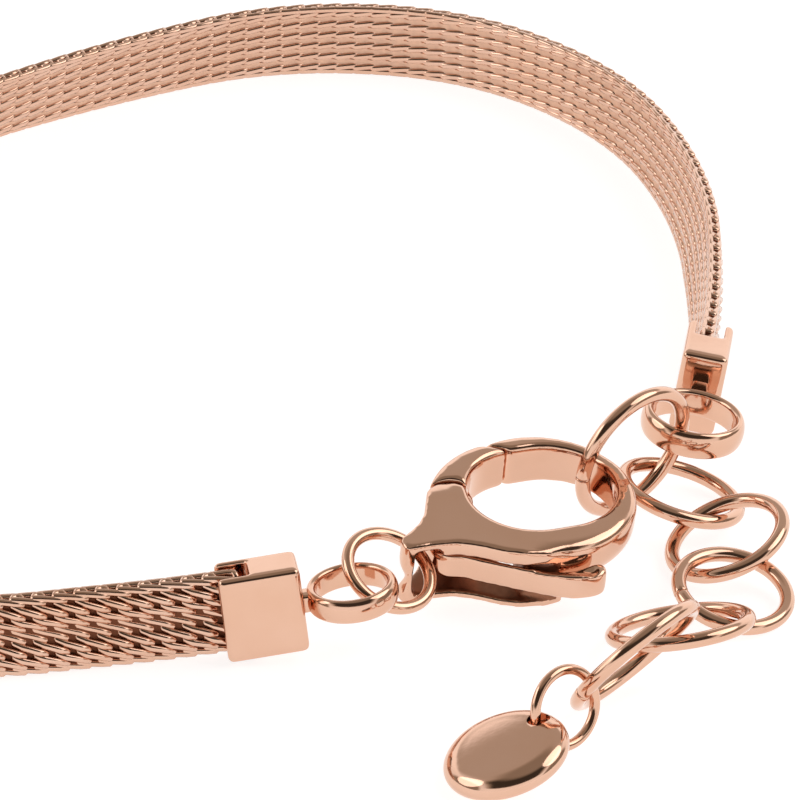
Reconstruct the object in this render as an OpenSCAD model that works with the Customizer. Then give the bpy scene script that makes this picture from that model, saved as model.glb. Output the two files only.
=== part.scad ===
// Woven mesh bracelet, fastened, standing on the long edge of its band.
// The plan has x to the right, y away from the closure, z up from the surface.
// Places are measured from a point beside the closure, then the whole is centred.

/* [Band] */
// Height of the band, across its rows
band_h = 4.3; // [3.9:0.1:4.4]
// Thickness of the band at its two lobes
band_t = 1.05; // [0.8:0.05:1.2]
// Depth of the groove along the outer face
groove_depth = 0.3; // [0.1:0.05:0.4]
// Longest turn between two cross sections, in degrees
section_turn = 5; // [3:1:10]
// Longest step between two cross sections
section_step = 3; // [2:0.5:6]

/* [End caps] */
// Length of a cap, along the band
cap_l = 4.1; // [3.8:0.1:5]
// Thickness of a cap
cap_t = 2.4; // [2.2:0.1:3]
// Height of a cap
cap_h = 4.6; // [4.6:0.1:5]
// Corner radius of a cap's front face
cap_corner = 0.35; // [0.1:0.05:0.5]
// Radius along a cap's long edges
cap_edge = 0.2; // [0.1:0.05:0.3]
// Width of the slot that holds the band
slot_w = 1.5; // [1.4:0.1:1.8]
// Depth of the slot from the band's side
slot_depth = 1.6; // [1.2:0.1:2]
// Clearance between the band's end and the slot's floor
band_end_gap = 0.3; // [0.25:0.05:0.5]

/* [Clasp] */
// Thickness of the hook and the gate
hook_t = 2.6; // [2.4:0.1:2.8]
// Rounding of the hook's upper edges
hook_round = 0.35; // [0.2:0.05:0.4]
// Rounding of the hook's lower outer edge
hook_belly = 1.2; // [0.4:0.1:1.3]
// Thickness of the lever between the cheek plates
lever_t = 1.5; // [1.3:0.1:1.5]
// Diameter of the lever's pin
pin_d = 0.9; // [0.7:0.1:1.2]
// Clearance around moving faces
clearance = 0.1; // [0.05:0.05:0.12]

/* [Disc] */
// Diameter of the disc
disc_d = 6.3; // [6:0.1:6.8]
// Thickness of the disc
disc_t = 1.3; // [1.2:0.05:1.35]
// Diameter of the disc's hole
disc_hole_d = 1.15; // [1.1:0.05:1.25]

/* [Hidden] */
$fn = 64;
overlap = 0.01;
through = 1;

// Middle of the whole piece in plan, seen from the point that places are measured from
middle = [-11.053, -0.668, 0];

// Columns of a placed piece: x, y, z, roll, pitch, yaw. A positive pitch lifts the +x end.
CLASP_CAP_AT = [-4.55, -24.8, 0.53, -5, 6, 8];
CHAIN_CAP_AT = [15.1, -4.2, 0.42, -9, 3, -97];
CLASP_AT = [7.27, -16.2, 3.09, 8.5, -1.4, 20];

// Columns of a cap's ring: gap to the block, outer radius, inner radius, height, middle's height
CLASP_CAP_RING = [0.15, 2.33, 1.8, 1.25, 2.25];
CHAIN_CAP_RING = [1.15, 2.7, 2.15, 1.45, 2.6];

// Columns of a wire ring: x, y, z, then azimuth and elevation of its axis, mean radius, wire
RINGS = [
    ["clasp_jump_ring", -0.54, -22.26, 3.07, -40, 58.6, 2.23, 0.66],
    ["hook_ring", 11.84, -11.84, 3.81, 132.65, 11.36, 3.47, 0.76],
    ["extender_link_1", 14.350, -11.794, 1.324, 20.2, 72.3, 3.04, 0.76],
    ["extender_link_2", 16.515, -16.460, 1.459, -167.4, 68.9, 2.95, 0.76],
    ["extender_link_3", 16.646, -20.890, 1.051, -39.0, 76.2, 2.78, 0.76],
    ["extender_link_4", 13.856, -25.171, 1.582, 113.6, 69.4, 3.40, 0.76],
    ["extender_link_5", 11.425, -30.607, 3.352, 140.8, 35.3, 3.63, 0.76],
    ["charm_jump_ring", 7.981, -33.874, 2.384, -48.7, 15.0, 1.90, 0.52]
];

// Columns of the disc: x, y, z, then azimuth and elevation of its axis
DISC_AT = [5.09, -36.5, 1.42, 187, 72.6];
// Place of the hole on the disc: distance from its middle, and direction on its face
DISC_HOLE = [2.252, -152.5];

// Seen stretch of the band, from the chain's cap: length, turn, and lean at the row's end.
// A positive lean puts the top outwards, and all angles are in degrees.
SEEN_BACK = [
    [14, 9, 17],
    [12, 18, 11],
    [12, 31, 5],
    [10, 34, 0],
    [10, 31, -8],
    [12, 9, -15]
];
// Seen stretch beside the clasp's cap
SEEN_FRONT = [[10, -4, -5]];
// Lean in the middle of the hidden stretch, and where it ends
HIDDEN_LEAN = [-10, -5];
// Length over which the band rises to each cap
rise_l = 7;

// Rotation of a vector, as the placing of a piece turns it
function turn_x(v, a) = [v.x, v.y * cos(a) - v.z * sin(a), v.y * sin(a) + v.z * cos(a)];
function turn_y(v, a) = [v.x * cos(a) + v.z * sin(a), v.y, -v.x * sin(a) + v.z * cos(a)];
function turn_z(v, a) = [v.x * cos(a) - v.y * sin(a), v.x * sin(a) + v.y * cos(a), v.z];
function placed(at, v) = [at[0], at[1], at[2]] + turn_z(turn_y(turn_x(v, at[3]), -at[4]), at[5]);

// Plan of the band: a walk of arcs, each with its length and its turn
function heading(a) = [cos(a), sin(a)];
function chord(length, turn) = abs(turn) < 0.001 ? length : length * sin(turn / 2) / (turn / 2 * PI / 180);
function walked(p, h, length, turn) = p + chord(length, turn) * heading(h + turn / 2);
function total(rows, column, count) = count == 0 ? 0 : rows[count - 1][column] + total(rows, column, count - 1);
function row_start(p, h, rows, i) =
    i == 0 ? p : walked(row_start(p, h, rows, i - 1), h + total(rows, 1, i - 1), rows[i - 1][0], rows[i - 1][1]);

slot_mid = [slot_depth - cap_l - band_end_gap, 0, cap_h / 2];
back_start = placed(CHAIN_CAP_AT, slot_mid);
front_end = placed(CLASP_CAP_AT, slot_mid);
start_plan = [back_start.x, back_start.y];
end_plan = [front_end.x, front_end.y];
start_heading = CHAIN_CAP_AT[5] + 180;
end_heading = CLASP_CAP_AT[5] + 360;
start_lean = -CHAIN_CAP_AT[3];

// Ends of the hidden stretch, which joins them with two arcs that meet smoothly
back_turn = total(SEEN_BACK, 1, len(SEEN_BACK));
back_end = row_start(start_plan, start_heading, SEEN_BACK, len(SEEN_BACK));
back_heading = start_heading + back_turn;
front_heading = end_heading - SEEN_FRONT[0][1];
front_start = end_plan - chord(SEEN_FRONT[0][0], SEEN_FRONT[0][1]) * heading(front_heading + SEEN_FRONT[0][1] / 2);
span = front_start - back_end;
tangents = heading(back_heading) + heading(front_heading);
spread = 2 * (1 - heading(back_heading) * heading(front_heading));
reach = (sqrt((span * tangents) ^ 2 + spread * (span * span)) - span * tangents) / spread;
joint = (back_end + reach * heading(back_heading) + front_start - reach * heading(front_heading)) / 2;

// Row of an arc that leaves one point at a heading and ends at another point
function angle_of(v) = atan2(v.y, v.x);
function wrapped(a) = a > 180 ? wrapped(a - 360) : a < -180 ? wrapped(a + 360) : a;
function arc_turn(p, h, q) = 2 * wrapped(angle_of(q - p) - h);
function arc_length(p, h, q) = norm(q - p) / chord(1, arc_turn(p, h, q));
first_turn = arc_turn(back_end, back_heading, joint);
HIDDEN = [
    [arc_length(back_end, back_heading, joint), first_turn, HIDDEN_LEAN[0]],
    [arc_length(joint, back_heading + first_turn, front_start),
        arc_turn(joint, back_heading + first_turn, front_start), HIDDEN_LEAN[1]]
];
BAND_ROWS = concat(SEEN_BACK, HIDDEN, SEEN_FRONT);
band_length = total(BAND_ROWS, 0, len(BAND_ROWS));

// Cross sections along the band: x, y, heading, lean, distance from the start
function lean_before(i) = i == 0 ? start_lean : BAND_ROWS[i - 1][2];
function steps(row) = ceil(max(abs(row[1]) / section_turn, row[0] / section_step));
function section(i, part) =
    let (row = BAND_ROWS[i],
         p = row_start(start_plan, start_heading, BAND_ROWS, i),
         h = start_heading + total(BAND_ROWS, 1, i),
         q = walked(p, h, row[0] * part, row[1] * part))
    [q.x, q.y, h + row[1] * part,
        lean_before(i) + (row[2] - lean_before(i)) * part,
        total(BAND_ROWS, 0, i) + row[0] * part];
SECTIONS = concat(
    [for (i = [0 : len(BAND_ROWS) - 1]) for (k = [0 : steps(BAND_ROWS[i]) - 1]) section(i, k / steps(BAND_ROWS[i]))],
    [section(len(BAND_ROWS) - 1, 1)]
);

// Height of the band's middle: it rests on its edge, and rises into each cap
function rest_z(lean) = band_h / 2 * cos(lean) + band_t / 2 * abs(sin(lean));
function rise(to, lean, distance) = (to - rest_z(lean)) * max(0, 1 - distance / rise_l) ^ 2;
function middle_z(s) = rest_z(s[3]) + rise(back_start.z, s[3], s[4]) + rise(front_end.z, s[3], band_length - s[4]);

// Outline of the cross section: two lobes outside, flat inside, in outward and upward measure
lobe_points = 8;
inner_bevel = 0.2;
function lobe(v) = band_t / 2 - groove_depth * cos(360 * v / band_h) ^ 2;
PROFILE = concat(
    [for (k = [0 : lobe_points]) let (v = band_h * (k / lobe_points - 0.5)) [lobe(v), v]],
    [[inner_bevel - band_t / 2, band_h / 2], [-band_t / 2, band_h / 2 - inner_bevel],
     [-band_t / 2, inner_bevel - band_h / 2], [inner_bevel - band_t / 2, -band_h / 2]]
);
function profile_point(s, uv) =
    let (out = uv.x * cos(s[3]) + uv.y * sin(s[3]),
         up = uv.y * cos(s[3]) - uv.x * sin(s[3]))
    [s[0] + out * sin(s[2]), s[1] - out * cos(s[2]), middle_z(s) + up];

// One solid swept through the sections, open at neither end
module swept(sections, profile) {
    n = len(profile);
    last = len(sections) - 1;
    polyhedron(
        points = [for (s = sections) for (uv = profile) profile_point(s, uv)],
        faces = concat(
            [for (i = [0 : last - 1]) for (k = [0 : n - 1]) [i * n + k, (i + 1) * n + (k + 1) % n, (i + 1) * n + k]],
            [for (i = [0 : last - 1]) for (k = [0 : n - 1]) [i * n + k, i * n + (k + 1) % n, (i + 1) * n + (k + 1) % n]],
            [[for (k = [0 : n - 1]) n - 1 - k], [for (k = [0 : n - 1]) last * n + k]]
        )
    );
}

module put(at) {
    translate([at[0], at[1], at[2]]) rotate([at[3], -at[4], at[5]]) children();
}

// Turns +z to an azimuth in plan and an elevation
module facing(at) {
    translate([at[0], at[1], at[2]]) rotate([0, 90 - at[4], at[3]]) children();
}

module rounded_rect(size, r) {
    square([size.x - 2 * r, size.y], center = true);
    square([size.x, size.y - 2 * r], center = true);
    for (i = [-1, 1], j = [-1, 1]) {
        translate([i * (size.x / 2 - r), j * (size.y / 2 - r)]) circle(r);
    }
}

// Solder neck between a cap's block and its ring
neck_w = 1;
neck_h = 1;
neck_in = 0.3;
// Bevel along the rims of a cap's ring
rim_bevel = 0.15;

// Cap: its block runs back from the middle of the foot of the ring's end
module end_cap(ring) {
    gap = ring[0];
    outer = ring[1];
    inner = ring[2];
    half = ring[3] / 2;
    difference() {
        translate([-cap_l / 2, 0, cap_h / 2]) intersection() {
            rotate([90, 0, 0]) linear_extrude(cap_t, center = true) rounded_rect([cap_l, cap_h], cap_corner);
            rotate([0, 90, 0]) linear_extrude(cap_l + through, center = true) rounded_rect([cap_h, cap_t], cap_edge);
        }
        translate([-cap_l - through, -slot_w / 2, -through]) cube([through + slot_depth, slot_w, cap_h + 2 * through]);
    }
    translate([-overlap, -neck_w / 2, ring[4] - neck_h / 2]) cube([gap + neck_in, neck_w, neck_h]);
    translate([gap + outer, 0, ring[4]]) rotate_extrude() polygon([
        [inner + rim_bevel, -half], [outer - 2 * rim_bevel, -half], [outer, 3 * rim_bevel - half],
        [outer, half - 3 * rim_bevel], [outer - 2 * rim_bevel, half], [inner + rim_bevel, half],
        [inner, half - rim_bevel], [inner, rim_bevel - half]
    ]);
}

// Clasp, in its own plane: +x is the hook's far end, the tail lies at -x, the gate at +y
pivot = [-5.3, -0.9];
hub_r = 1.2;
// Levels of the cheek plates, of the slot between them and of the lever's middle
top_z = 1.35;
slot_top_z = 0.4;
slot_bottom_z = -1.85;
bottom_z = -2.3;
lever_z = -0.45;
// Round root of the lever, beside its hub
root = [-5.45, -1.5, 1.48];
hook_mid_z = top_z - hook_t / 2;
// Opening: two equal circles and what lies between them
opening_r = 3.2;
opening_x = [-0.75, 0.45];
opening_y = 0.2;
// Outer edges of the hook and of the gate
hook_outer = [-0.25, -0.15, 4.8];
gate_outer = [-1.1, -0.6, 5.15];
// Round end of the plates, which the gate's root goes round
plate_end = [-4.95, 0.8, 1.15];
gate_tip_r = 6.35;
tail_x = -8.6;
tail_post_l = 0.65;
slot_end_x = -2.65;
// Room between the lever's arm and the wall behind it, and where that narrower slot ends
arm_gap = 0.2;
arm_slot_end_x = -1.0;
// Taller end of the slot, where the jump ring goes through
ring_slot_x = -6.6;
ring_slot_top_z = 0.85;
pin_seat = 0.35;
// Outline of a cheek plate from its round end to the tail, then along the lever's side
CHEEK = [
    [-3.9, 1.0], [-6.0, 1.2], [-6.4, 0.3], [-6.7, -0.35], [-7.3, -1.1], [-8.3, -1.8], [tail_x, -2.1],
    [tail_x, -2.7], [-8.4, -2.95], [-7.0, -2.95], [-5.8, -3.1], [-4.8, -3.6], [-3.8, -4.3], [-2.8, -4.75],
    [-1.6, -4.93], [-0.6, -4.8], [-0.6, -2.5], [-3, 0]
];
// Side of the clasp where the gate sits, and beyond
GATE_SIDE = [[-9, 2], [-4.95, 2], [-4.95, 0.8], [-3.5, 0.8], [0, 3], [0.5, 9], [-9, 9]];
// Thumb arm, outer side first, then back along the inner side to the hub
ARM = [
    [-6.0, -1.6], [-5.45, -2.98], [-4.8, -3.5], [-3.8, -4.15], [-2.9, -4.75], [-2.0, -5.3], [-1.2, -5.75],
    [-0.4, -6.05], [0.3, -6.14], [0.65, -6.12], [0.99, -6.0], [1.22, -5.78], [1.3, -5.5], [1.22, -5.24],
    [1.0, -5.1], [-0.2, -5.15], [-1.2, -5.05], [-2.4, -4.65], [-3.8, -3.7], [-4.5, -2.8], [-4.3, -1.4]
];
// Shank from the hub to the gate
SHANK = [[-6.2, -0.3], [-5.7, 1.2], [-4.9, 2.6], [-3.5, 2.9], [-3.3, 1.4], [-4.2, -1.2]];

// Half outline of the hook's outer edge: a small rounding above and a full one below
module rim_2d(r) {
    translate([0, -hook_t / 2]) square([r - hook_belly, hook_t]);
    translate([r - hook_belly - overlap, 0]) square([hook_belly - hook_round + overlap, hook_t / 2]);
    translate([0, hook_belly - hook_t / 2]) square([r, hook_t - hook_belly - hook_round]);
    translate([r - hook_round, hook_t / 2 - hook_round]) circle(hook_round);
    translate([r - hook_belly, hook_belly - hook_t / 2]) circle(hook_belly);
}

module round_disc(place) {
    translate([place[0], place[1], hook_mid_z]) rotate_extrude() rim_2d(place[2]);
}

// Opening whose rims flare out with a rounded edge
module flare_2d() {
    difference() {
        translate([0, -hook_t]) square([opening_r + hook_round, 2 * hook_t]);
        translate([opening_r, hook_round - hook_t / 2]) square([2 * hook_round, hook_t - 2 * hook_round]);
        for (i = [-1, 1]) {
            translate([opening_r + hook_round, i * (hook_t / 2 - hook_round)]) circle(hook_round);
        }
    }
}

module opening() {
    for (x = opening_x) translate([x, opening_y, hook_mid_z]) rotate_extrude() flare_2d();
    translate([opening_x[0], opening_y, hook_mid_z]) rotate([90, 0, 90]) {
        linear_extrude(opening_x[1] - opening_x[0]) {
            flare_2d();
            mirror([1, 0]) flare_2d();
        }
    }
}

module opening_2d() {
    for (x = opening_x) translate([x, opening_y]) circle(opening_r);
    translate([opening_x[0], opening_y - opening_r]) square([opening_x[1] - opening_x[0], 2 * opening_r]);
}

module gate_side() {
    linear_extrude(3 * hook_t, center = true) polygon(GATE_SIDE);
}

module about_pivot(r, z, h) {
    translate([pivot.x, pivot.y, z]) cylinder(r = r, h = h);
}

module about_plate_end(extra) {
    translate([plate_end[0], plate_end[1], -hook_t]) cylinder(r = plate_end[2] + extra, h = 2 * hook_t);
}

module clasp_body_shape() {
    difference() {
        union() {
            difference() {
                round_disc(hook_outer);
                intersection() {
                    about_pivot(gate_tip_r, -2 * hook_t, 4 * hook_t);
                    gate_side();
                }
            }
            translate([0, 0, bottom_z]) linear_extrude(top_z - bottom_z) {
                difference() {
                    union() {
                        polygon(CHEEK);
                        translate([plate_end[0], plate_end[1]]) circle(plate_end[2]);
                    }
                    opening_2d();
                }
            }
        }
        opening();
        // Slot for the lever and for the jump ring, open on both sides
        translate([tail_x + tail_post_l, -8, slot_bottom_z]) {
            cube([slot_end_x - tail_x - tail_post_l, 16, slot_top_z - slot_bottom_z]);
            cube([ring_slot_x - tail_x - tail_post_l, 16, ring_slot_top_z - slot_bottom_z]);
        }
        translate([0, 0, slot_bottom_z]) linear_extrude(slot_top_z - slot_bottom_z) intersection() {
            offset(delta = arm_gap) polygon(ARM);
            translate([slot_end_x - 1, -8]) square([arm_slot_end_x - slot_end_x + 1, 8]);
        }
        about_pivot(pin_d / 2 + overlap, slot_bottom_z - pin_seat, slot_top_z - slot_bottom_z + 2 * pin_seat);
    }
}

module lever_shape() {
    difference() {
        union() {
            about_pivot(hub_r, lever_z - lever_t / 2, lever_t);
            translate([0, 0, lever_z]) linear_extrude(lever_t, center = true) {
                translate([root[0], root[1]]) circle(root[2]);
                polygon(ARM);
                polygon(SHANK);
            }
            // Gate, as thick as the hook
            difference() {
                intersection() {
                    union() {
                        round_disc(hook_outer);
                        round_disc(gate_outer);
                    }
                    about_pivot(gate_tip_r - clearance, -hook_t, 2 * hook_t);
                    gate_side();
                }
                about_plate_end(clearance);
                opening();
            }
        }
        about_pivot(pin_d / 2 + clearance / 2, -hook_t, 2 * hook_t);
    }
}

module mesh_band() {
    color("burlywood") swept(SECTIONS, PROFILE);
}

module clasp_end_cap() {
    color("rosybrown") put(CLASP_CAP_AT) end_cap(CLASP_CAP_RING);
}

module chain_end_cap() {
    color("rosybrown") put(CHAIN_CAP_AT) end_cap(CHAIN_CAP_RING);
}

module clasp_body() {
    color("tan") put(CLASP_AT) clasp_body_shape();
}

module clasp_lever() {
    color("peru") put(CLASP_AT) lever_shape();
}

module clasp_pin() {
    color("sienna") put(CLASP_AT)
        about_pivot(pin_d / 2, slot_bottom_z - pin_seat, slot_top_z - slot_bottom_z + 2 * pin_seat);
}

module wire_ring(row) {
    facing([row[1], row[2], row[3], row[4], row[5]]) rotate_extrude() translate([row[6], 0]) circle(d = row[7]);
}

module charm_disc() {
    edge = disc_t / 2;
    color("rosybrown") facing(DISC_AT) difference() {
        rotate_extrude() {
            translate([disc_d / 2 - edge, 0]) intersection() {
                circle(edge);
                translate([0, -edge]) square([edge, disc_t]);
            }
            translate([0, -edge]) square([disc_d / 2 - edge, disc_t]);
        }
        rotate([0, 0, DISC_HOLE[1]]) translate([DISC_HOLE[0], 0, 0]) cylinder(d = disc_hole_d, h = 2 * disc_t, center = true);
    }
}

translate(-middle) {
    mesh_band();
    clasp_end_cap();
    chain_end_cap();
    clasp_body();
    clasp_lever();
    clasp_pin();
    for (row = RINGS) {
        color("rosybrown") wire_ring(row);
    }
    charm_disc();
}
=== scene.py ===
# Looks of the woven mesh bracelet: wire weave, polished fittings, floor, light and camera
import math

import bmesh
import bpy
from mathutils import Matrix, Vector


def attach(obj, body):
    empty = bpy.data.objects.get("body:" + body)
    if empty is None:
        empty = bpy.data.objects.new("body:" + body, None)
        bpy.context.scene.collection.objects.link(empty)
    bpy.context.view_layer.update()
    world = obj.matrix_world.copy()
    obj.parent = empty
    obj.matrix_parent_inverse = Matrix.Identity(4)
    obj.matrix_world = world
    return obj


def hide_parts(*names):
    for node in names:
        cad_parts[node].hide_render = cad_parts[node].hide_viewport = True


bl_info = {
    "name": "Mesh bracelet looks",
    "version": (1, 0, 0),
    "blender": (4, 5, 0),
    "location": "3D View > Sidebar > Bracelet",
    "description": "Weaves the band, shapes the polished fittings and sets the studio",
    "category": "Object",
}

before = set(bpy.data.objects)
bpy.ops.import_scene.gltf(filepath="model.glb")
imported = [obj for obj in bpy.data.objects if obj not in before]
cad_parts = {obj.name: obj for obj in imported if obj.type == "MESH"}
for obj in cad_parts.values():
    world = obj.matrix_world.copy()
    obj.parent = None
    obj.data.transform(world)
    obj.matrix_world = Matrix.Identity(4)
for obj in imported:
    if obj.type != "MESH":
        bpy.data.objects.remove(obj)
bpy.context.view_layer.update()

MM = 0.001
BODY = "bracelet"
LEVER_BODY = "lever"

# Plan point that the model's origin lies on, in millimetres
MIDDLE = Vector((-11.053, -0.668, 0.0))

# Columns of a placed piece: x, y, z, roll, pitch, yaw, in millimetres and degrees
CLASP_CAP_AT = (-4.55, -24.8, 0.53, -5, 6, 8)
CHAIN_CAP_AT = (15.1, -4.2, 0.42, -9, 3, -97)
CLASP_AT = (7.27, -16.2, 3.09, 8.5, -1.4, 20)
# The disc's place: x, y, z, azimuth and elevation of its axis
DISC_AT = (5.09, -36.5, 1.42, 187, 72.6)

# Hollow in the thumb tab, in the clasp's own frame: its two ends, its half widths there and its depth
TAB_HOLLOW = ((-2.2, -4.95), (0.35, -5.6))
TAB_WIDTH = (0.25, 0.5)
TAB_DEPTH = 0.22
# Level above which the hollow is pressed in, so that it leaves the tab's underside alone
TAB_FLOOR = -0.1
# Outer edges of the hook and of the gate: middle and radius
HOOK_CIRCLE = ((-0.25, -0.15), 4.8)
GATE_CIRCLE = ((-1.1, -0.6), 5.15)
# Soft edge pressed into the hook's top at the near side: its width, its depth, and where in x it begins
EDGE_W, EDGE_DEPTH, EDGE_FROM = 0.95, 0.16, (-3.2, -0.7)
# The same for the gate and the hook's far side, which slope from their inner edge and begin in y
FAR_W, FAR_DEPTH, FAR_FROM = 1.5, 0.22, (0.6, 2.2)
# Levels between which the press fades in, under the hook's top
PRESS_FROM = (0.25, 1.15)
# The waist of the tail's post: its line, level, reach up and down, and depth as a part of the post's size
POST_LINE, POST_FROM = (-7.95, -2.45), (-8.0, -7.85)
POST_LEVEL, POST_REACH, POST_WAIST = -0.95, 0.6, 0.5
# Painted shade on the inside between the clasp's cheeks, which is also rougher metal: its levels and its
# reach in x
INSIDE_SHADE_LEVELS, INSIDE_SHADE_REACH = (-1.91, 0.46), (-7.9, -1.0)

# Size of a cap's block: length, thickness, height, slot width and slot depth
CAP_L, CAP_T, CAP_H, SLOT_W, SLOT_DEPTH = 4.1, 2.4, 4.6, 1.5, 1.6

# Solder neck between block and ring: how far it reaches into each, its width and its bevel
NECK_IN, NECK_W, NECK_EDGE = 0.3, 1.0, 0.2
# Section of a cap's ring: shares of its wall in the inner rims and the outer round, then the rims' height
RIM_SHARE, ROUND_SHARE, RIM_H = 0.42, 0.55, 0.24
# Columns of a cap's ring: place, gap to the block, outer radius, inner radius, height, middle's height
CAP_RINGS = {
    "clasp_end_cap": (CLASP_CAP_AT, 0.15, 2.33, 1.8, 1.25, 2.25),
    "chain_end_cap": (CHAIN_CAP_AT, 1.15, 2.7, 2.15, 1.45, 2.6),
}

# Columns of a wire ring: x, y, z, azimuth and elevation of its axis, mean radius, wire, angle of its cut
RINGS = {
    "clasp_jump_ring": (-0.54, -22.26, 3.07, -40, 58.6, 2.23, 0.66, 90),
    "hook_ring": (11.84, -11.84, 3.81, 132.65, 11.36, 3.47, 0.76, 88),
    "extender_link_1": (14.35, -11.794, 1.324, 20.2, 72.3, 3.04, 0.76, 333),
    "extender_link_2": (16.515, -16.46, 1.459, -167.4, 68.9, 2.95, 0.76, 26),
    "extender_link_3": (16.646, -20.89, 1.051, -39.0, 76.2, 2.78, 0.76, 238),
    "extender_link_4": (13.856, -25.171, 1.582, 113.6, 69.4, 3.4, 0.76, 332),
    "extender_link_5": (11.425, -30.607, 3.352, 140.8, 35.3, 3.63, 0.76, 80),
    "charm_jump_ring": (7.981, -33.874, 2.384, -48.7, 15.0, 1.9, 0.52, 285),
}

# Ends of a bent ring: the wire's thickness at the cut and just behind it, and its easing's length in wires
CUT_SHARE, EASE_SHARE, EASE_L = 0.86, 0.96, 0.12

# Disc: dome of its face, heights of its face and its rim over the middle, and radius of its flat back
DISC_DOME, DISC_TOP, DISC_RIM, BACK_R = 0.07, 0.78, -0.06, 2.55
# Disc: radius, thickness, radius of its face, then the hole's radius, distance and direction
DISC_R, DISC_T, FACE_R, HOLE_R, HOLE_OUT, HOLE_WAY = 3.15, 1.3, 2.1, 0.575, 2.252, -152.5

# The band's walk in plan: start, heading, lean, then rows of length, turn and lean at the row's end
BAND_START = (15.8124, -1.35052)
BAND_HEADING = 83.0
BAND_LEAN = 9.0
BAND_ROWS = [
    (14, 9, 17), (12, 18, 11), (12, 31, 5), (10, 34, 0), (10, 31, -8), (12, 9, -15),
    (43.9826, 55.8373, -10), (34.7065, 101.163, -5), (10, -4, -5)
]
BAND_H, BAND_T = 4.3, 1.05
# Spiral: bunching of its turns, then fullness and sharpness of its pressed section
BUNCH, FULL, SHARP = 0.3, 1.07, 0.145
# Spiral: how fast its buried ends sink and how far they rise, and how fast its edge strands level out
SINK, END_RISE, LEVEL_OUT = 8.0, 0.16, 1.4
# Share of the slant that edge strands keep, and that the whole spiral gives up at the top and at the bottom
EDGE_SLANT, SLANT_ROOM = 0.4, 0.4
# Height of the band's middle at its two ends, and the length over which it rises to each
END_Z = (2.54203, 2.51602)
RISE_L = 7.0
# Strips of painted shade inside the weave, a dark one and a dimmer metal one: outer and inner face from the
# band's middle, and the bare edge above and below
OUTER_SHADE_LEVELS, OUTER_SHADE_EDGE = (0.12, -0.06), 0.34
INNER_SHADE_LEVELS, INNER_SHADE_EDGE = (-0.08, -0.4), 0.4

# Setting that holds each metal's tone
TONES = {
    "polished rose metal": "tone",
    # Painted shade inside the clasp
    "dull inside of the clasp": "inside_shade_tone",
    "woven rose wire": "wire_tone",
    # Painted shade inside the weave, under its outer face and then under its inner face
    "gaps in the weave": "gap_shade_tone",
    "lining of the weave": "inner_shade_tone",
}
# Metal: what the deeper tone keeps, swings of roughness with fine and slow noise, least roughness, dents
DEEP, FINE_SWING, SLOW_SWING, LEAST_ROUGH, DENT = 0.9, 0.9, 0.5, 0.02, 0.00002
# Painted shade inside the weave: size of its mottle, how much lighter that is, and depth of its dents
MOTTLE_SIZE, MOTTLE_LIGHT, GAP_DENT = 0.0004, 1.8, 0.00005
# Floor: size of its mottle, and how much its deeper tone keeps
FLOOR_MOTTLE_SIZE, FLOOR_DEEP = 1 / 60.0, 0.97

# Camera: its distance in metres and how far it looks down
CAMERA_FAR, CAMERA_TILT = 0.37, 30
# Lights: name, place, diameter and the setting that gives the power, all aimed at the origin
LIGHTS = (
    ("right softbox", (0.42, 0.02, 0.42), 0.5, "key"),
    ("left softbox", (-0.5, 0.0, 0.25), 0.4, "fill"),
)
# Floor: radius, shift away from the camera, and height, just under the pieces
FLOOR_R, FLOOR_SHIFT, FLOOR_Z = 0.5, 0.08, -0.00002
# Light tent: tones of each part, low and high, then at the zenith
BACKDROP = (1.25, 0.52, 0.3)
BEHIND = (1.1, 0.05, 0.3)
# Tones of the tent's sides, of their far ends, and of everything below the horizon
SIDE, SIDE_END, BELOW = 1.05, 0.3, 1.0
# Green and blue that the darkest tones lack
WARM_GREEN, WARM_BLUE = 0.13, 0.3


# Node trees written as expressions
class Val:
    """A number in a node tree, so that maths on it reads as an expression"""

    def __init__(self, graph, socket):
        self.graph = graph
        self.socket = socket

    def math(self, operation, *others):
        values = dict(enumerate((self,) + others))
        return self.graph.val("ShaderNodeMath", {"operation": operation}, values)

    def flipped(self, operation, other):
        return self.graph.val("ShaderNodeMath", {"operation": operation}, {0: other, 1: self})

    def __add__(self, other):
        return self.math("ADD", other)

    def __radd__(self, other):
        return self.flipped("ADD", other)

    def __sub__(self, other):
        return self.math("SUBTRACT", other)

    def __rsub__(self, other):
        return self.flipped("SUBTRACT", other)

    def __mul__(self, other):
        return self.math("MULTIPLY", other)

    def __rmul__(self, other):
        return self.flipped("MULTIPLY", other)

    def __truediv__(self, other):
        return self.math("DIVIDE", other)

    def cos(self):
        return self.math("COSINE")

    def sin(self):
        return self.math("SINE")

    def floor(self):
        return self.math("FLOOR")

    def root(self):
        return self.math("SQRT")

    def least(self, other):
        return self.math("MINIMUM", other)

    def most(self, other):
        return self.math("MAXIMUM", other)


class Graph:
    """A node tree, and one way to add any node to it"""

    def __init__(self, tree):
        self.tree = tree

    def node(self, kind, settings=None, values=None):
        node = self.tree.nodes.new(kind)
        for name, value in (settings or {}).items():
            setattr(node, name, value)
        for key, value in (values or {}).items():
            socket = node.inputs[key]
            source = value.socket if isinstance(value, Val) else value
            if isinstance(source, bpy.types.NodeSocket):
                self.tree.links.new(source, socket)
            else:
                socket.default_value = source
        return node

    def val(self, kind, settings=None, values=None):
        return Val(self, self.node(kind, settings, values).outputs[0])

    def noise(self, place, size, detail):
        """Noise with features of about the given size in metres"""
        return self.val("ShaderNodeTexNoise", {}, {"Vector": place, "Scale": 1 / size, "Detail": detail})

    def mixed(self, part, one, two):
        """A colour between two others, as the output socket of a mix node"""
        values = {0: part, 6: (*one, 1.0), 7: (*two, 1.0)}
        return self.node("ShaderNodeMix", {"data_type": "RGBA"}, values).outputs[2]


# Materials
def empty_material(name):
    """A new material with no nodes, its graph, and the object's own coordinates"""
    material = bpy.data.materials.new(name)
    material.use_nodes = True
    material.node_tree.nodes.clear()
    g = Graph(material.node_tree)
    return material, g, g.node("ShaderNodeTexCoord").outputs["Object"]


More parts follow.
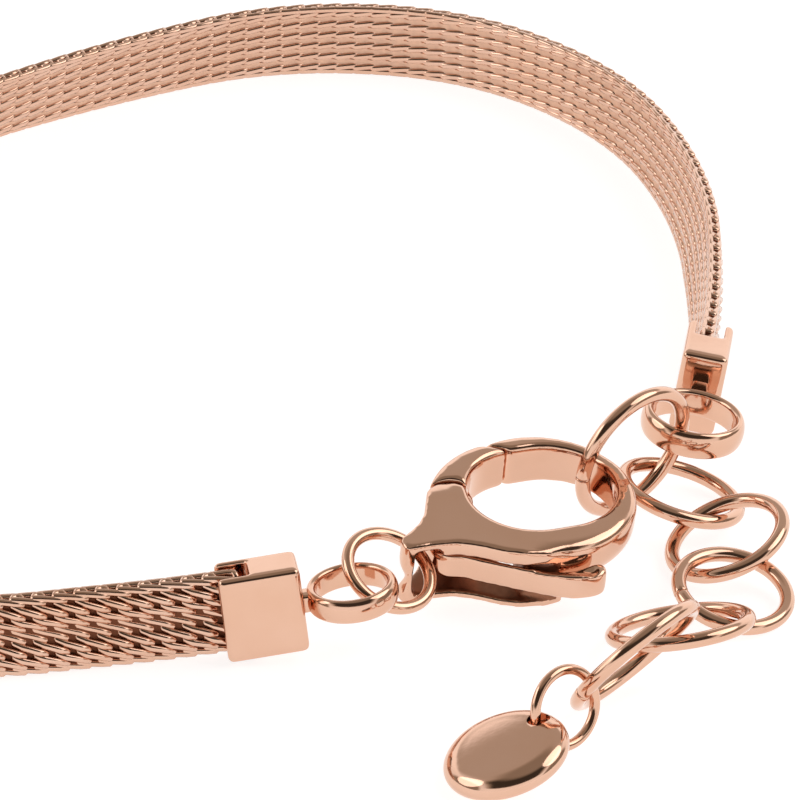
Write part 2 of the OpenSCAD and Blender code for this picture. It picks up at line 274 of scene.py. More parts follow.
def surface(g, values):
    shader = g.node("ShaderNodeBsdfPrincipled", {}, values)
    g.node("ShaderNodeOutputMaterial", {}, {"Surface": shader.outputs[0]})


def metal(name, tone, roughness, grain, grain_size, wear_size, dark=0.0):
    """A polished plated metal: slow changes of tone, fine polishing marks and small dents"""
    material, g, place = empty_material(name)
    slow = g.noise(place, wear_size, 3.0)
    fine = g.noise(place, grain_size, 5.0)
    deep = tuple(c * (DEEP - dark) ** (1 + k) for k, c in enumerate(tone))
    rough = roughness + (fine - 0.5) * roughness * FINE_SWING + (slow - 0.5) * roughness * SLOW_SWING
    bump = g.node("ShaderNodeBump", {}, {"Height": fine, "Strength": grain, "Distance": DENT})
    surface(g, {
        "Base Color": g.mixed(slow, tone, deep), "Metallic": 1.0, "Roughness": rough.most(LEAST_ROUGH),
        "Normal": bump.outputs[0], "IOR": 1.5})
    return material


def shade_sheet_metal(name, tone):
    """Painted shade for the inside of the weave: darker and duller than the wires and slightly mottled"""
    material, g, place = empty_material(name)
    mottle = g.noise(place, MOTTLE_SIZE, 3.0)
    light = tuple(min(1.0, c * MOTTLE_LIGHT) for c in tone)
    bump = g.node("ShaderNodeBump", {}, {"Height": mottle, "Strength": 0.3, "Distance": GAP_DENT})
    surface(g, {
        "Base Color": g.mixed(mottle, tone, light), "Metallic": 0.6, "Roughness": 0.45 + mottle * 0.2,
        "Normal": bump.outputs[0]})
    return material


def floor_material(name, tone, glow):
    """A pale matt surface, lit from within a little so that its shadows stay light"""
    material, g, place = empty_material(name)
    mottle = g.noise(place, FLOOR_MOTTLE_SIZE, 2.0)
    deep = tuple(c * FLOOR_DEEP for c in tone)
    surface(g, {
        "Base Color": g.mixed(mottle, tone, deep), "Roughness": 0.9, "Specular IOR Level": 0.1,
        "Emission Color": (1.0, 1.0, 1.0, 1.0), "Emission Strength": glow})
    return material


def light_tent(tree):
    """Light for the metal to reflect: bright low down, dimmer above, dark high behind the camera"""
    g = Graph(tree)
    ray = g.node("ShaderNodeTexCoord").outputs["Generated"]
    parts = g.node("ShaderNodeSeparateXYZ", {}, {0: ray}).outputs
    x, y, z = (Val(g, part) for part in parts)

    def rise(value, low, high):
        settings = {"interpolation_type": "SMOOTHSTEP"}
        return g.val("ShaderNodeMapRange", settings, {0: value, 1: low, 2: high})

    def blend(one, two, part):
        return one + (two - one) * part

    def wall(tones, low, high):
        """Tone of a wall that changes once between two heights and again towards the zenith"""
        return blend(tones[0], blend(tones[1], tones[2], rise(z, 0.78, 0.95)), rise(z, low, high))

    backdrop = wall(BACKDROP, 0.4, 0.48)
    behind = wall(BEHIND, 0.24, 0.38)
    tent = blend(behind, backdrop, rise(y, -0.25, 0.1))
    side = rise(x * x, 0.36, 0.7) * (1 - rise(z, 0.6, 0.8))
    tent = blend(tent, blend(SIDE, SIDE_END, rise(x * x, 0.66, 0.8)), side)
    tone = blend(BELOW, tent, rise(z, -0.03, 0.0))
    warm = 1 - rise(tone, 0.1, 0.95)
    colour = g.node("ShaderNodeCombineXYZ", {}, {
        0: tone, 1: tone * (1 - warm * WARM_GREEN), 2: tone * (1 - warm * WARM_BLUE)})
    sky = g.node("ShaderNodeBackground", {}, {0: colour.outputs[0]})
    g.node("ShaderNodeOutputWorld", {}, {0: sky.outputs[0]})


def material_named(name):
    """The named material, made the first time that it is asked for"""
    material = bpy.data.materials.get(name)
    if material is None:
        settings = bpy.context.scene.bracelet_metal
        tone = tuple(getattr(settings, TONES[name]))
        makers = {
            "polished rose metal": lambda: metal(name, tone, settings.roughness, 0.12, 0.00035, 0.004),
            # Painted shade inside the clasp, on rougher metal
            "dull inside of the clasp": lambda: metal(name, tone, 0.4, 0.3, 0.0003, 0.002),
            "woven rose wire": lambda: metal(name, tone, settings.wire_roughness, 0.1, 0.0002, 0.003, 0.05),
            # Painted shade inside the weave, under its outer face and then under its inner face
            "gaps in the weave": lambda: shade_sheet_metal(name, tone),
            "lining of the weave": lambda: shade_sheet_metal(name, tone),
        }
        material = makers[name]()
    return material


# Places and plain meshes, in millimetres until a piece is finished
def placed(at):
    x, y, z, roll, pitch, yaw = at
    turn = (Matrix.Rotation(math.radians(yaw), 4, "Z") @ Matrix.Rotation(math.radians(-pitch), 4, "Y")
            @ Matrix.Rotation(math.radians(roll), 4, "X"))
    return Matrix.Scale(MM, 4) @ Matrix.Translation(Vector((x, y, z)) - MIDDLE) @ turn


def facing(at):
    x, y, z, azimuth, elevation = at
    turn = (Matrix.Rotation(math.radians(azimuth), 4, "Z")
            @ Matrix.Rotation(math.radians(90 - elevation), 4, "Y"))
    return Matrix.Scale(MM, 4) @ Matrix.Translation(Vector((x, y, z)) - MIDDLE) @ turn


def add_object(name, data):
    piece = bpy.data.objects.new(name, data)
    bpy.context.scene.collection.objects.link(piece)
    return piece


def baked(piece):
    """The piece's evaluated shape as a plain mesh, with its modifiers removed"""
    graph = bpy.context.evaluated_depsgraph_get()
    graph.update()
    mesh = bpy.data.meshes.new_from_object(piece.evaluated_get(graph))
    piece.modifiers.clear()
    return mesh


def finish_piece(piece, body, material, nodes=()):
    if len(piece.data.polygons) == 0:
        raise RuntimeError(f"{piece.name} came out empty")
    piece.data.materials.clear()
    piece.data.materials.append(material)
    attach(piece, body)
    if nodes:
        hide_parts(*nodes)


def mesh_from(bm, name, matrix):
    bmesh.ops.transform(bm, matrix=matrix, verts=bm.verts)
    mesh = bpy.data.meshes.new(name)
    bm.to_mesh(mesh)
    bm.free()
    return mesh


def lathe(bm, outline, segments, matrix):
    """Turns an outline of radius and height points about z; a radius of 0 closes at the axis"""
    rings = []
    for radius, height in outline:
        if radius < 1e-6:
            rings.append([bm.verts.new(matrix @ Vector((0, 0, height)))])
            continue
        rings.append([
            bm.verts.new(matrix @ Vector((radius * math.cos(a), radius * math.sin(a), height)))
            for a in (2 * math.pi * k / segments for k in range(segments))])
    pairs = list(zip(rings, rings[1:]))
    if len(rings[0]) > 1 and len(rings[-1]) > 1:
        pairs.append((rings[-1], rings[0]))
    for low, high in pairs:
        for k in range(segments):
            n = (k + 1) % segments
            corners = [low[k % len(low)], low[n % len(low)], high[n % len(high)], high[k % len(high)]]
            unique = list(dict.fromkeys(corners))
            if len(unique) > 2:
                bm.faces.new(unique)


def arc(cx, cy, across, upright, start, end, steps):
    turns = [math.radians(start + (end - start) * k / steps) for k in range(steps + 1)]
    return [(cx + across * math.cos(a), cy + upright * math.sin(a)) for a in turns]


def skin(bm, loops):
    """Joins loops of points in turn and closes both ends"""
    for one, two in zip(loops, loops[1:]):
        for k in range(len(one)):
            n = (k + 1) % len(one)
            bm.faces.new((one[k], two[k], two[n], one[n]))
    bm.faces.new(loops[0])
    bm.faces.new(loops[-1])
    outward(bm)


def outward(bm):
    bmesh.ops.recalc_face_normals(bm, faces=bm.faces)


def smooth(mesh, angle):
    mesh.polygons.foreach_set("use_smooth", [True] * len(mesh.polygons))
    mesh.set_sharp_from_angle(angle=math.radians(angle))


# The band's path
def band_stations(step):
    """Points along the band: x, y, z in millimetres, then its lean in degrees"""
    total = sum(row[0] for row in BAND_ROWS)
    x, y = BAND_START
    heading, lean, gone = BAND_HEADING, BAND_LEAN, 0.0
    stations = []
    for length, turn, end_lean in BAND_ROWS:
        steps = math.ceil(length / step)
        last = gone + length > total - 1e-6
        for k in range(steps + last):
            part = k / steps
            bend = math.radians(turn * part)
            chord = length * part * (math.sin(bend / 2) / (bend / 2) if abs(bend) > 1e-9 else 1.0)
            way = math.radians(heading) + bend / 2
            now = lean + (end_lean - lean) * part
            rest = BAND_H / 2 * math.cos(math.radians(now)) + BAND_T / 2 * abs(math.sin(math.radians(now)))
            at = gone + length * part
            rise = sum((z - rest) * max(0.0, 1 - d / RISE_L) ** 2 for z, d in zip(END_Z, (at, total - at)))
            stations.append((x + chord * math.cos(way), y + chord * math.sin(way), rest + rise, now))
        bend = math.radians(turn)
        chord = length * math.sin(bend / 2) / (bend / 2)
        way = math.radians(heading) + bend / 2
        x += chord * math.cos(way)
        y += chord * math.sin(way)
        heading += turn
        lean = end_lean
        gone += length
    return stations


def path_object(name, stations):
    """The band's path as a chain of edges, in metres, that carries its lean in radians"""
    mesh = bpy.data.meshes.new(name)
    points = [(Vector(s[:3]) - MIDDLE) * MM for s in stations]
    mesh.from_pydata(points, [(k, k + 1) for k in range(len(points) - 1)], [])
    leans = mesh.attributes.new("lean", "FLOAT", "POINT")
    leans.data.foreach_set("value", [math.radians(s[3]) for s in stations])
    return add_object(name, mesh)


def lobes(g, up, given):
    """Distance of the outer face from the band's middle at a height: two lobes and a groove between them"""
    wave = (up / given["Height"] * (2 * math.pi)).cos()
    return given["Half depth"] - given["Groove"] * wave * wave


def weave_tree(material, sizes, counts):
    """Geometry nodes that wind one pressed spiral of wire for each step and bend them all to a path"""
    tree = bpy.data.node_groups.new("Wire weave", "GeometryNodeTree")
    tree.interface.new_socket("Geometry", in_out="OUTPUT", socket_type="NodeSocketGeometry")
    tree.interface.new_socket("Geometry", in_out="INPUT", socket_type="NodeSocketGeometry")
    for name in sizes:
        tree.interface.new_socket(name, in_out="INPUT", socket_type="NodeSocketFloat")
    for name in counts:
        tree.interface.new_socket(name, in_out="INPUT", socket_type="NodeSocketInt")
    g = Graph(tree)
    group = g.node("NodeGroupInput")
    given = {name: Val(g, group.outputs[name]) for name in (*sizes, *counts)}
    pitch, reach, wire = given["Pitch"], given["Reach"], given["Wire radius"]
    height, depth, slant, length = given["Height"], given["Half depth"], given["Slant"], given["Length"]
    rows, samples, lead = given["Rows"], given["Samples"], given["Lead"]

    # One spiral's wire, with x along the band, y towards its outer face and z up
    per = (rows - 0.5) * samples + lead * 2 + 1
    points = g.node("GeometryNodePoints", {}, {"Count": per * given["Spirals"]})
    index = g.val("GeometryNodeInputIndex")
    spiral = ((index + 0.5) / per).floor()
    turn = (index - spiral * per - lead) / samples
    last = rows - 0.5
    inside = turn.most(0.0).least(last)
    climb = (turn - 0.5).most(0.0).least(last - 1.0) / (last - 1.0)

    def winding(turns):
        return turns * (2 * math.pi) - (turns * (4 * math.pi)).sin() * BUNCH

    side = winding(turn).cos()
    through = winding(turn).sin()
    flat = through * FULL / (through * through + SHARP).root()
    bury = ((turn + lead / samples).least(last + lead / samples - turn) * SINK).least(1.0)
    edge = (inside * LEVEL_OUT).least((last - inside) * LEVEL_OUT).least(1.0)
    lean_up = slant * (edge * (1 - EDGE_SLANT) + EDGE_SLANT)
    low = 0 - (height * 0.5 - wire) + slant * SLANT_ROOM
    level = low + (height - wire * 2 - slant * (2 * SLANT_ROOM)) * climb - lean_up * winding(inside).cos()
    up = level * (bury * END_RISE + (1 - END_RISE))
    centre = lobes(g, up, given) - given["Press"]
    lap = given["Lap"] * (side - 1.0) * flat.most(0.0)
    out = (flat.most(0.0) * centre + flat.least(0.0) * (depth - given["Press"]) + lap) * bury
    along = (spiral + 0.5) * pitch + reach * side
    place = g.node("ShaderNodeCombineXYZ", {}, {0: along, 1: out, 2: up})
    laid = g.node("GeometryNodeSetPosition", {}, {
        "Geometry": points.outputs[0], "Position": place.outputs[0]})
    wires = g.node("GeometryNodePointsToCurves", {}, {0: laid.outputs[0], "Curve Group ID": spiral})
    round_wire = g.node("GeometryNodeCurvePrimitiveCircle", {"mode": "RADIUS"}, {
        "Resolution": given["Wire sides"], "Radius": wire})
    solid = g.node("GeometryNodeCurveToMesh", {}, {
        "Curve": wires.outputs[0], "Profile Curve": round_wire.outputs[0], "Fill Caps": True})

    # Every point of the wires pressed into the band's section and carried to the path
    own = g.node("ShaderNodeSeparateXYZ", {}, {0: g.node("GeometryNodeInputPosition").outputs[0]})
    s, u, v = (Val(g, output) for output in own.outputs)
    s = s.most(0.0).least(length)
    u = u.least(lobes(g, v, given)).most(0 - depth)
    path = g.node("GeometryNodeMeshToCurve", {}, {0: group.outputs["Geometry"]})
    lean_field = g.node("GeometryNodeInputNamedAttribute", {"data_type": "FLOAT"}, {"Name": "lean"})
    along_all = {"mode": "LENGTH", "data_type": "FLOAT", "use_all_curves": True}
    at = g.node("GeometryNodeSampleCurve", along_all, {
        "Curves": path.outputs[0], "Value": lean_field.outputs[0], "Length": s})
    lean = Val(g, at.outputs[0])
    spot = g.node("ShaderNodeSeparateXYZ", {}, {0: at.outputs["Position"]})
    ahead = g.node("ShaderNodeSeparateXYZ", {}, {0: at.outputs["Tangent"]})
    px, py, pz = (Val(g, output) for output in spot.outputs)
    tx, ty = Val(g, ahead.outputs[0]), Val(g, ahead.outputs[1])
    norm = (tx * tx + ty * ty).root()
    aside = u * lean.cos() + v * lean.sin()
    rise = v * lean.cos() - u * lean.sin()
    bent = g.node("ShaderNodeCombineXYZ", {}, {
        0: px + aside * ty / norm, 1: py - aside * tx / norm, 2: pz + rise})
    moved = g.node("GeometryNodeSetPosition", {}, {
        "Geometry": solid.outputs[0], "Position": bent.outputs[0]})
    shaded = g.node("GeometryNodeSetShadeSmooth", {}, {0: moved.outputs[0]})
    real = g.node("GeometryNodeRealizeInstances", {}, {0: shaded.outputs[0]})
    coloured = g.node("GeometryNodeSetMaterial", {}, {0: real.outputs[0], "Material": material})
    g.node("NodeGroupOutput", {}, {0: coloured.outputs[0]})
    return tree


# Settings that a user would change
def number(name, default, description, **kind):
    return bpy.props.FloatProperty(name=name, default=default, description=description, **kind)


def length(name, default, description):
    return number(name, default, description, unit="LENGTH")


def count(name, default, description):
    return bpy.props.IntProperty(name=name, default=default, description=description)


def colour(name, default, description):
    return bpy.props.FloatVectorProperty(
        name=name, default=default, description=description, size=3, subtype="COLOR")


class BraceletWeave(bpy.types.PropertyGroup):
    pitch: length("Pitch", 0.00106, "Step from one spiral of wire to the next")
    reach: length("Reach", 0.0008, "Half the length of a strand along the band")
    wire: length("Wire radius", 0.000185, "Radius of the woven wire")
    groove: length("Groove", 0.00033, "Depth of the groove along the outer face")
    slant: length("Slant", 0.0002, "Height that a strand gains over the row's own step")
    rows: count("Rows", 7, "Turns of a spiral over the band's height")
    press: length("Press", 0.00013, "Depth of a wire's middle under its pressed face")
    lap: length("Lap", 0.00004, "How far a strand's far end tucks under the one before")
    samples: count("Samples", 10, "Points in one turn of a spiral")
    lead: count("Lead", 6, "Points of a spiral's buried ends")
    sides: count("Wire sides", 8, "Sides of the wire's section")


class BraceletMetal(bpy.types.PropertyGroup):
    tone: colour("Tone", (0.785, 0.505, 0.38), "Colour of the polished fittings")
    wire_tone: colour("Wire tone", (0.8, 0.545, 0.43), "Colour of the woven wires")
    # Painted shade under the weave's outer face
    gap_shade_tone: colour("Gap shade tone", (0.12, 0.035, 0.012), "Colour under the weave's outer face")
    # Painted shade under the weave's inner face, lighter than under the outer face
    inner_shade_tone: colour("Inner shade tone", (0.62, 0.37, 0.265), "Colour under the weave's inner face")
    # Painted shade inside the clasp
    inside_shade_tone: colour("Inside shade tone", (0.3, 0.14, 0.085), "Colour of the painted shade inside the clasp")
    roughness: number("Roughness", 0.09, "Roughness of the polished fittings", subtype="FACTOR")
    wire_roughness: number("Wire roughness", 0.15, "Roughness of the woven wire", subtype="FACTOR")


class BraceletFittings(bpy.types.PropertyGroup):
    grain: length("Grain", 0.00007, "Size of the cast pieces' mesh")
    edge: length("Edge", 0.00028, "Rounding of the caps' edges")
    cap_passes: count("Cap passes", 20, "Rounds of softening on the end caps")
    passes: count("Passes", 90, "Rounds of softening on the clasp")
    cut: length("Cut", 0.00004, "Width of the cut in a bent ring")
    segments: count("Segments", 96, "Steps round a ring")
    sides: count("Sides", 20, "Steps round a ring's wire")


class BraceletStudio(bpy.types.PropertyGroup):
    floor: colour("Floor", (0.5, 0.5, 0.5), "Colour of the floor")
    glow: number("Glow", 0.8, "Light that the floor adds itself")
    key: number("Key", 1.0, "Power of the right light", unit="POWER")
    fill: number("Fill", 0.55, "Power of the left light", unit="POWER")
    lens: number("Lens", 316.35, "Focal length in millimetres on a 36 mm sensor")


# Operators, one for each piece or group of like pieces
class BRACELET_OT_weave(bpy.types.Operator):
    """Winds the band's wire along its path"""
    bl_idname = "bracelet.weave"
    bl_label = "Weave the band"

    def execute(self, context):
        weave = context.scene.bracelet_weave
        stations = band_stations(0.5)
        length = sum((Vector(b[:3]) - Vector(a[:3])).length for a, b in zip(stations, stations[1:])) * MM
        piece = path_object("woven_band", stations)
        sizes = {
            "Pitch": weave.pitch, "Reach": weave.reach, "Wire radius": weave.wire, "Height": BAND_H * MM,
            "Half depth": BAND_T / 2 * MM, "Groove": weave.groove, "Slant": weave.slant, "Length": length,
            "Lap": weave.lap, "Press": weave.press}
        counts = {
            "Rows": weave.rows, "Samples": weave.samples, "Spirals": int(length / weave.pitch),
            "Wire sides": weave.sides, "Lead": weave.lead}
        material = material_named("woven rose wire")
        modifier = piece.modifiers.new("Weave", "NODES")
        modifier.node_group = weave_tree(material, tuple(sizes), tuple(counts))
        for item in modifier.node_group.interface.items_tree:
            if item.in_out == "INPUT" and item.name != "Geometry":
                modifier[item.identifier] = {**sizes, **counts}[item.name]
        piece.data = baked(piece)
        finish_piece(piece, BODY, material, ["mesh_band"])
        return {"FINISHED"}


class BRACELET_OT_core(bpy.types.Operator):
    """Lays painted shade inside the weave: a dark strip under its outer face, a lighter one under its inner
    face
    """
    bl_idname = "bracelet.core"
    bl_label = "Fill the weave"

    def execute(self, context):
        stations = band_stations(1.0)[1:-1]
        # A dark sheet of painted shade under the outer face
        self.strip(stations, "band_core", OUTER_SHADE_LEVELS, BAND_H / 2 - OUTER_SHADE_EDGE, "gaps in the weave")
        # A dimmer metal sheet of painted shade under the inner face
        self.strip(stations, "band_lining", INNER_SHADE_LEVELS, BAND_H / 2 - INNER_SHADE_EDGE, "lining of the weave")
        return {"FINISHED"}

    def strip(self, stations, name, levels, half_h, material):
        bm = bmesh.new()
        high, low = levels
        corners = [(high, -half_h), (high, half_h), (low, half_h), (low, -half_h)]
        loops = []
        for k, (x, y, z, lean) in enumerate(stations):
            a, b = stations[max(0, k - 1)], stations[min(len(stations) - 1, k + 1)]
            ahead = Vector((b[0] - a[0], b[1] - a[1])).normalized()
            c, s = math.cos(math.radians(lean)), math.sin(math.radians(lean))
            loop = []
            for u, v in corners:
                aside = u * c + v * s
                loop.append(bm.verts.new((x + aside * ahead.y, y - aside * ahead.x, z + v * c - u * s)))
            loops.append(loop)
        skin(bm, loops)
        piece = add_object(name, mesh_from(bm, name, Matrix.Scale(MM, 4) @ Matrix.Translation(-MIDDLE)))
        finish_piece(piece, BODY, material_named(material))


class BRACELET_OT_rings(bpy.types.Operator):
    """Bends every wire ring, with the fine cut where its ends meet"""
    bl_idname = "bracelet.rings"
    bl_label = "Bend the rings"

    def execute(self, context):
        fittings = context.scene.bracelet_fittings
        for name, row in RINGS.items():
            mean, wire, cut = row[5] * MM, row[6] * MM, math.radians(row[7])
            bm = bmesh.new()
            loops = []
            for angle, part in self.turns(fittings.cut / mean, wire * EASE_L / mean, fittings.segments):
                ray = Vector((math.cos(angle + cut), math.sin(angle + cut), 0))
                loop = []
                for k in range(fittings.sides):
                    a = 2 * math.pi * k / fittings.sides
                    across, upright = wire / 2 * part * math.cos(a), wire / 2 * part * math.sin(a)
                    loop.append(bm.verts.new(ray * (mean + across) + Vector((0, 0, upright))))
                loops.append(loop)
            skin(bm, loops)
            mesh = mesh_from(bm, name, facing(row[:5]) @ Matrix.Scale(1 / MM, 4))
            smooth(mesh, 50)
            piece = add_object(f"bent_{name}", mesh)
            finish_piece(piece, BODY, material_named("polished rose metal"), [name])
        return {"FINISHED"}

    def turns(self, gap, ease, steps):
        """Angles round the ring with the wire's thickness there, which eases off at the cut"""
        start, end = gap / 2 + ease, 2 * math.pi - gap / 2 - ease
        turns = [(gap / 2, CUT_SHARE), (gap / 2 + ease * 0.4, EASE_SHARE)]
        turns += [(start + (end - start) * k / steps, 1.0) for k in range(steps + 1)]
        return turns + [(end + ease * 0.6, EASE_SHARE), (end + ease, CUT_SHARE)]


def block(size, centre, edge=0.0, segments=1):
    """A new box, with its edges rounded where an edge is given"""
    bm = bmesh.new()
    bmesh.ops.create_cube(bm, size=1.0, matrix=Matrix.Translation(centre) @ Matrix.Diagonal((*size, 1.0)))
    if edge > 0:
        bmesh.ops.bevel(bm, geom=bm.edges[:], offset=edge, segments=segments, affect="EDGES", profile=0.5)
    return bm


def cut_out(piece, cutter_mesh):
    cutter = add_object("cutter", cutter_mesh)
    modifier = piece.modifiers.new("Cut", "BOOLEAN")
    modifier.operation = "DIFFERENCE"
    modifier.solver = "EXACT"
    modifier.object = cutter
    piece.data = baked(piece)
    bpy.data.objects.remove(cutter)


def rounded(piece, width, segments, angle):
    modifier = piece.modifiers.new("Round", "BEVEL")
    modifier.width = width
    modifier.segments = segments
    modifier.limit_method = "ANGLE"
    modifier.angle_limit = math.radians(angle)
    piece.data = baked(piece)


def cast(piece, grain, passes):
    """Melts a piece's sharp edges, as casting and polishing do"""
    remesh = piece.modifiers.new("Grain", "REMESH")
    remesh.mode = "VOXEL"
    remesh.voxel_size = grain
    soften = piece.modifiers.new("Soften", "SMOOTH")
    soften.factor = 0.5
    soften.iterations = passes
    piece.data = baked(piece)


class BRACELET_OT_caps(bpy.types.Operator):
    """Shapes the two end caps: a slotted block, its wide ring and the solder between them"""
    bl_idname = "bracelet.caps"
    bl_label = "Shape the end caps"

    def execute(self, context):
        fittings = context.scene.bracelet_fittings
        for name, (at, gap, outer, inner, height, level) in CAP_RINGS.items():
            bm = block((CAP_L, CAP_T, CAP_H), (-CAP_L / 2, 0, CAP_H / 2), fittings.edge / MM, 5)
            body = add_object(f"shaped_{name}", mesh_from(bm, name, Matrix.Identity(4)))
            slot = block((2 * SLOT_DEPTH, SLOT_W, 2 * CAP_H), (-CAP_L, 0, CAP_H / 2))
            cut_out(body, mesh_from(slot, "slot", Matrix.Identity(4)))
            cast(body, fittings.grain / MM, fittings.cap_passes)
            bm = bmesh.new()
            bm.from_mesh(body.data)
            neck = block((gap + 2 * NECK_IN, NECK_W, NECK_W), ((gap + NECK_IN) / 2, 0, level), NECK_EDGE, 3)
            bm.from_mesh(mesh_from(neck, "neck", Matrix.Identity(4)))
            half, wall = height / 2, outer - inner
            rim, bulge = wall * RIM_SHARE, wall * ROUND_SHARE
            profile = (
                arc(inner + rim, half - RIM_H, rim, RIM_H, 180, 90, 6)
                + arc(outer - bulge, 0, bulge, half, 90, -90, 20)
                + arc(inner + rim, RIM_H - half, rim, RIM_H, -90, -180, 6))
            lathe(bm, profile, 96, Matrix.Translation((gap + outer, 0, level)))
            outward(bm)
            body.data = mesh_from(bm, name, placed(at))
            smooth(body.data, 40)
            finish_piece(body, BODY, material_named("polished rose metal"), [name])
        return {"FINISHED"}


def merged_copy(node):
    """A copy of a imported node's mesh with its loose triangles joined"""
    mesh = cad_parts[node].data.copy()
    bm = bmesh.new()
    bm.from_mesh(mesh)
    bmesh.ops.remove_doubles(bm, verts=bm.verts, dist=2e-7)
    bmesh.ops.dissolve_limit(bm, angle_limit=math.radians(0.5), verts=bm.verts, edges=bm.edges)
    bm.to_mesh(mesh)
    bm.free()
    return mesh


def fade(value, span):
    """0 before a span, 1 after it and a smooth rise between"""
    part = max(0.0, min(1.0, (value - span[0]) / (span[1] - span[0])))
    return part * part * (3 - 2 * part)


def press(mesh, move):
    """Moves every point of a mesh in the clasp's own frame, in millimetres"""
    frame_in = placed(CLASP_AT)
    frame_out = frame_in.inverted()
    for vertex in mesh.vertices:
        spot = frame_out @ vertex.co
        move(spot)
        vertex.co = frame_in @ spot


def dome(circle):
    """Presses the hook's top down towards its outer edge: narrowly at the near side, widely at the far"""
    def move(spot):
        inside = circle[1] - (spot.xy - Vector(circle[0])).length
        near = EDGE_DEPTH * max(0.0, min(1.0, 1 - inside / EDGE_W)) ** 2 * fade(spot.x, EDGE_FROM)
        far = FAR_DEPTH * max(0.0, min(1.0, 1 - inside / FAR_W)) ** 1.4
        spot.z -= (near + (far - near) * fade(spot.y, FAR_FROM)) * fade(spot.z, PRESS_FROM)
    return move


def pinch_post(spot):
    """Draws in the middle of the tail's post, so that it swells towards both plates"""
    part = 1 - fade(spot.x, POST_FROM)
    part *= POST_WAIST * math.exp(-((spot.z - POST_LEVEL) / POST_REACH) ** 2)
    spot.xy += (Vector(POST_LINE) - spot.xy) * part


def shape_tab(spot):
    """Presses the spoon-shaped hollow into the thumb tab's top"""
    start = Vector(TAB_HOLLOW[0])
    line = Vector(TAB_HOLLOW[1]) - start
    part = max(0.0, min(1.0, (spot.xy - start).dot(line) / line.length_squared))
    reach = TAB_WIDTH[0] + (TAB_WIDTH[1] - TAB_WIDTH[0]) * part ** 0.7
    away = (spot.xy - start - line * part).length / reach
    if spot.z > TAB_FLOOR and away < 1:
        spot.z -= TAB_DEPTH * (1 - away ** 2) ** 1.2 * min(1.0, 0.3 + part)


def paint_inside_shade(mesh, material):
    """Gives the faces inside the clasp's slot painted shade: a darker, rougher metal of their own"""
    frame_out = placed(CLASP_AT).inverted()
    mesh.materials.append(material)
    for face in mesh.polygons:
        spot = frame_out @ face.center
        # Faces inside the slot get the painted shade
        if INSIDE_SHADE_REACH[0] < spot.x < INSIDE_SHADE_REACH[1] and INSIDE_SHADE_LEVELS[0] < spot.z < INSIDE_SHADE_LEVELS[1]:
            face.material_index = 1


class BRACELET_OT_clasp(bpy.types.Operator):
    """Softens the cast clasp and its lever, draws in the tail's post and hollows the thumb tab"""
    bl_idname = "bracelet.clasp"
    bl_label = "Shape the clasp"

    def execute(self, context):
        fittings = context.scene.bracelet_fittings
        rows = (
            ("cast_clasp", "clasp_body", BODY, pinch_post, HOOK_CIRCLE),
            ("cast_lever", "clasp_lever", LEVER_BODY, shape_tab, GATE_CIRCLE),
        )
        for name, node, body, move, circle in rows:
            piece = add_object(name, merged_copy(node))
            cast(piece, fittings.grain, fittings.passes)
            press(piece.data, move)
            press(piece.data, dome(circle))
            smooth(piece.data, 180)
            finish_piece(piece, body, material_named("polished rose metal"), [node])
            if node == "clasp_body":
                # Painted shade on the faces inside the slot
                paint_inside_shade(piece.data, material_named("dull inside of the clasp"))
        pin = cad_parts["clasp_pin"]
        pin.data.materials.clear()
        pin.data.materials.append(material_named("polished rose metal"))
        return {"FINISHED"}


class BRACELET_OT_disc(bpy.types.Operator):
    """Turns the plain disc with its soft rim, and drills it for its ring"""
    bl_idname = "bracelet.disc"
    bl_label = "Turn the disc"

    def execute(self, context):
        bm = bmesh.new()
        face = DISC_TOP - DISC_DOME
        back = -DISC_T / 2
        outline = [(FACE_R * k / 8, DISC_TOP - DISC_DOME * (k / 8) ** 2) for k in range(8)]
        outline += reversed(arc(FACE_R, DISC_RIM, DISC_R - FACE_R, face - DISC_RIM, 0, 90, 18))
        outline += arc(BACK_R, DISC_RIM, DISC_R - BACK_R, DISC_RIM - back, -6, -90, 14)
        outline.append((0, back))
        lathe(bm, outline, 128, Matrix.Identity(4))
        outward(bm)
        piece = add_object("turned_disc", mesh_from(bm, "turned_disc", Matrix.Identity(4)))
        drill = bmesh.new()
        way = math.radians(HOLE_WAY)
        spot = Matrix.Translation((HOLE_OUT * math.cos(way), HOLE_OUT * math.sin(way), 0))
        lathe(drill, [(0, -2), (HOLE_R, -2), (HOLE_R, 2), (0, 2)], 48, spot)
        outward(drill)
        cut_out(piece, mesh_from(drill, "drill", Matrix.Identity(4)))
        rounded(piece, 0.05, 2, 40)
        piece.data.transform(facing(DISC_AT))
        smooth(piece.data, 35)
        finish_piece(piece, BODY, material_named("polished rose metal"), ["charm_disc"])
        return {"FINISHED"}


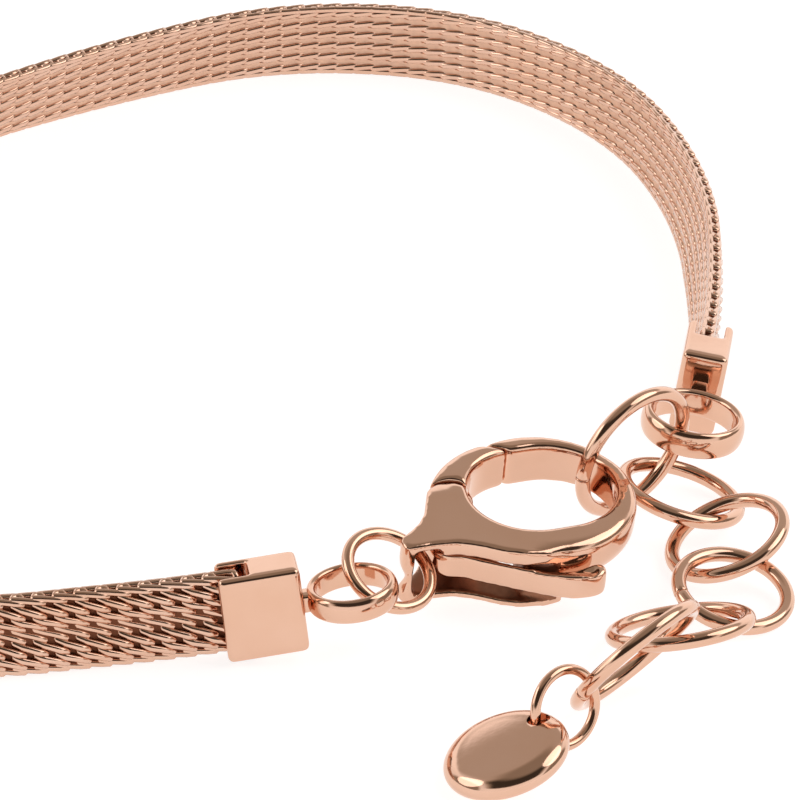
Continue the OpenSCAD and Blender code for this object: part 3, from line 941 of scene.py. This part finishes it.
class BRACELET_OT_studio(bpy.types.Operator):
    """Sets the pale floor, the soft lights, the surroundings and the camera"""
    bl_idname = "bracelet.studio"
    bl_label = "Set the studio"

    def execute(self, context):
        studio = context.scene.bracelet_studio
        bm = bmesh.new()
        bmesh.ops.create_circle(bm, cap_ends=True, segments=96, radius=FLOOR_R)
        bmesh.ops.translate(bm, verts=bm.verts, vec=(0, FLOOR_SHIFT, FLOOR_Z))
        floor = add_object("floor", mesh_from(bm, "floor", Matrix.Identity(4)))
        floor.data.materials.append(floor_material("pale floor", tuple(studio.floor), studio.glow))

        for name, spot, size, power in LIGHTS:
            data = bpy.data.lights.new(name, "AREA")
            data.shape = "DISK"
            data.size = size
            data.energy = getattr(studio, power)
            lamp = add_object(name, data)
            lamp.location = spot
            lamp.rotation_euler = (-Vector(spot)).to_track_quat("-Z", "Y").to_euler()

        world = bpy.data.worlds.new("studio")
        world.use_nodes = True
        world.node_tree.nodes.clear()
        light_tent(world.node_tree)
        context.scene.world = world

        data = bpy.data.cameras.new("camera")
        data.lens = studio.lens
        data.sensor_width = 36.0
        data.clip_start = 0.01
        data.clip_end = 10.0
        camera = add_object("camera", data)
        tilt = math.radians(CAMERA_TILT)
        camera.location = Vector((0, -math.cos(tilt), math.sin(tilt))) * CAMERA_FAR - MIDDLE * MM
        camera.rotation_euler = (math.radians(90) - tilt, 0, 0)
        context.scene.camera = camera
        context.scene.view_settings.view_transform = "Standard"
        return {"FINISHED"}


class BRACELET_PT_panel(bpy.types.Panel):
    """Lists the bracelet's pieces and their settings"""
    bl_idname = "BRACELET_PT_panel"
    bl_label = "Mesh bracelet"
    bl_space_type = "VIEW_3D"
    bl_region_type = "UI"
    bl_category = "Bracelet"

    def draw(self, context):
        for name in GROUPS:
            group = getattr(context.scene, name)
            box = self.layout.box()
            for key in group.__annotations__:
                box.prop(group, key)
        for operator in OPERATORS:
            self.layout.operator(operator.bl_idname)


GROUPS = {
    "bracelet_weave": BraceletWeave,
    "bracelet_metal": BraceletMetal,
    "bracelet_fittings": BraceletFittings,
    "bracelet_studio": BraceletStudio,
}
OPERATORS = (
    BRACELET_OT_weave, BRACELET_OT_core, BRACELET_OT_rings, BRACELET_OT_caps, BRACELET_OT_clasp,
    BRACELET_OT_disc, BRACELET_OT_studio,
)


def register():
    for cls in (*GROUPS.values(), *OPERATORS, BRACELET_PT_panel):
        bpy.utils.register_class(cls)
    for name, cls in GROUPS.items():
        setattr(bpy.types.Scene, name, bpy.props.PointerProperty(type=cls))


def unregister():
    for name in GROUPS:
        delattr(bpy.types.Scene, name)
    for cls in reversed((*GROUPS.values(), *OPERATORS, BRACELET_PT_panel)):
        bpy.utils.unregister_class(cls)


def main():
    register()
    for operator in OPERATORS:
        group, name = operator.bl_idname.split(".")
        getattr(getattr(bpy.ops, group), name)()


if __name__ == "__main__":
    main()
